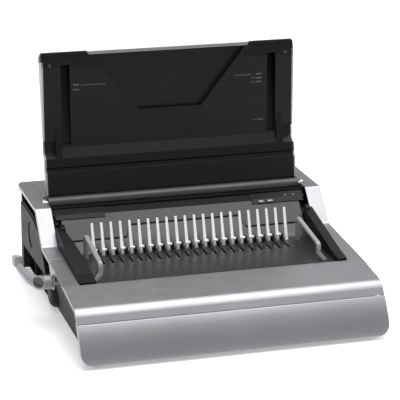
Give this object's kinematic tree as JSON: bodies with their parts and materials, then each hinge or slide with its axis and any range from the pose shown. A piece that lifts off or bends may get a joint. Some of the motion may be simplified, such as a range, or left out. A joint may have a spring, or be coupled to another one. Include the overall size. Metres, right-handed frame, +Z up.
{
  "type": "comb binding machine",
  "caption": "Desktop electric comb binding machine with open lid, slotted deck, upright tines, moving hooks, side lever and chip drawer.",
  "frame": {"origin": "on the floor under the middle of the overall footprint, the side lever included", "axes": "+X to the user's right along the row of tines, +Y to the rear, +Z up"},
  "size_m": [0.4926, 0.4536, 0.3612],
  "materials": {
    "casing_silver": "metallic silver paint, fine grain, satin",
    "side_dark_plastic": "dark grey textured moulding",
    "deck_gloss_black": "polished black",
    "wall_grey_plastic": "smooth mid grey",
    "black_matte_plastic": "black fine grain moulding",
    "satin_barrel_plastic": "satin grey",
    "bright_tine_plastic": "bright satin",
    "lever_plastic": "light grey, fine grain",
    "cap_grey_plastic": "fine rough grain",
    "key_plastic": "satin dark grey",
    "lamp_lens": "clear moulded lens",
    "steel": "zinc plated",
    "brass": "turned",
    "rubber": "matte",
    "board_plastic": "coated board"
  },
  "bodies": {
    "chassis": {"base_pan": "steel", "base_screws": "steel", "bearing_plates": "steel", "board_components": "board_plastic", "button_board": "board_plastic", "cam_bearings": "brass", "circuit_board": "board_plastic", "control_fascia": "black_matte_plastic", "die_block": "steel", "die_stands": "steel", "drive_motor": "steel", "front_casing": "casing_silver", "guide_rods": "steel", "hinge_brackets": "steel", "hinge_pins": "steel", "left_arm_cover": "casing_silver", "left_fascia": "black_matte_plastic", "left_side_panel": "side_dark_plastic", "left_side_pod": "side_dark_plastic", "mains_inlet": "black_matte_plastic", "punch_guide": "steel", "rear_panel": "black_matte_plastic", "rear_top_cover": "casing_silver", "rear_wall_plate": "wall_grey_plastic", "return_springs": "steel", "right_side_panel": "side_dark_plastic", "right_side_pod": "side_dark_plastic", "rubber_feet": "rubber", "shaft_brackets": "steel", "shaft_bushes": "brass", "side_bars": "lever_plastic", "side_rails": "black_matte_plastic", "slotted_deck": "deck_gloss_black", "status_lamps": "lamp_lens", "switch_frame": "black_matte_plastic", "throat_cover": "black_matte_plastic", "tine_comb": "bright_tine_plastic", "transformer": "steel"},
    "lid": {"lid_shell": "casing_silver", "lid_liner": "black_matte_plastic", "lid_screws": "satin_barrel_plastic", "hinge_barrel": "satin_barrel_plastic"},
    "drawer": {"drawer_front": "casing_silver", "chip_tray": "black_matte_plastic"},
    "comb_lever": {"lever_handle": "lever_plastic", "lever_cap": "cap_grey_plastic", "lever_shaft": "steel", "rack_pinions": "steel"},
    "hook_carriage": {"hook_rake": "black_matte_plastic", "hook_tips": "bright_tine_plastic", "rake_racks": "steel"},
    "punch_key": {"punch_button": "key_plastic"},
    "reverse_key": {"reverse_button": "key_plastic"},
    "mains_rocker": {"power_rocker": "black_matte_plastic"},
    "punch_bar": {"pressure_bar": "steel", "punch_pins": "steel"},
    "cam_drive": {"camshaft": "steel", "heart_cams": "steel", "camshaft_gear": "steel"},
    "motor_rotor": {"motor_pinion": "steel"}
  },
  "joints": [
    {"name": "lid_hinge", "type": "hinge", "parent": "chassis", "child": "lid", "pos_m": [0.02125, 0.112, 0.137], "axis": [1, 0, 0], "range_deg": [0, 111]},
    {"name": "drawer_slide", "type": "slide", "parent": "chassis", "child": "drawer", "axis": [0, -1, 0], "range_m": [0, 0.18]},
    {"name": "lever_turn", "type": "hinge", "parent": "chassis", "child": "comb_lever", "pos_m": [-0.20475, -0.037, 0.065], "axis": [1, 0, 0], "range_deg": [0, 120]},
    {"name": "hook_slide", "type": "slide", "parent": "chassis", "child": "hook_carriage", "axis": [0, -1, 0], "range_m": [0, 0.0252]},
    {"name": "punch_key_press", "type": "slide", "parent": "chassis", "child": "punch_key", "axis": [0, 0.6634, -0.7483], "range_m": [0, 0.001], "stiffness_N_per_m": 400},
    {"name": "reverse_key_press", "type": "slide", "parent": "chassis", "child": "reverse_key", "axis": [0, 0.6634, -0.7483], "range_m": [0, 0.001], "stiffness_N_per_m": 400},
    {"name": "mains_rocker_turn", "type": "hinge", "parent": "chassis", "child": "mains_rocker", "pos_m": [0.20725, 0.214, 0.039], "axis": [1, 0, 0], "range_deg": [0, 12]},
    {"name": "cam_turn", "type": "hinge", "parent": "chassis", "child": "cam_drive", "pos_m": [0.02125, 0.163, 0.1], "axis": [1, 0, 0], "range_deg": [0, 175]},
    {"name": "punch_stroke", "type": "slide", "parent": "chassis", "child": "punch_bar", "axis": [0, -1, 0], "range_m": [0, 0.01362], "deforming": ["return_springs"]},
    {"name": "motor_turn", "type": "hinge", "parent": "chassis", "child": "motor_rotor", "pos_m": [-0.16475, 0.163, 0.065], "axis": [1, 0, 0], "range_deg": [-526, 0]}
  ],
  "couplings": [
    {"joint": "hook_slide", "follows": "lever_turn", "m_per_rad": 0.012},
    {"joint": "punch_stroke", "follows": "cam_turn", "m_per_rad": 0.0044563},
    {"joint": "motor_turn", "follows": "cam_turn", "ratio": -3}
  ]
}
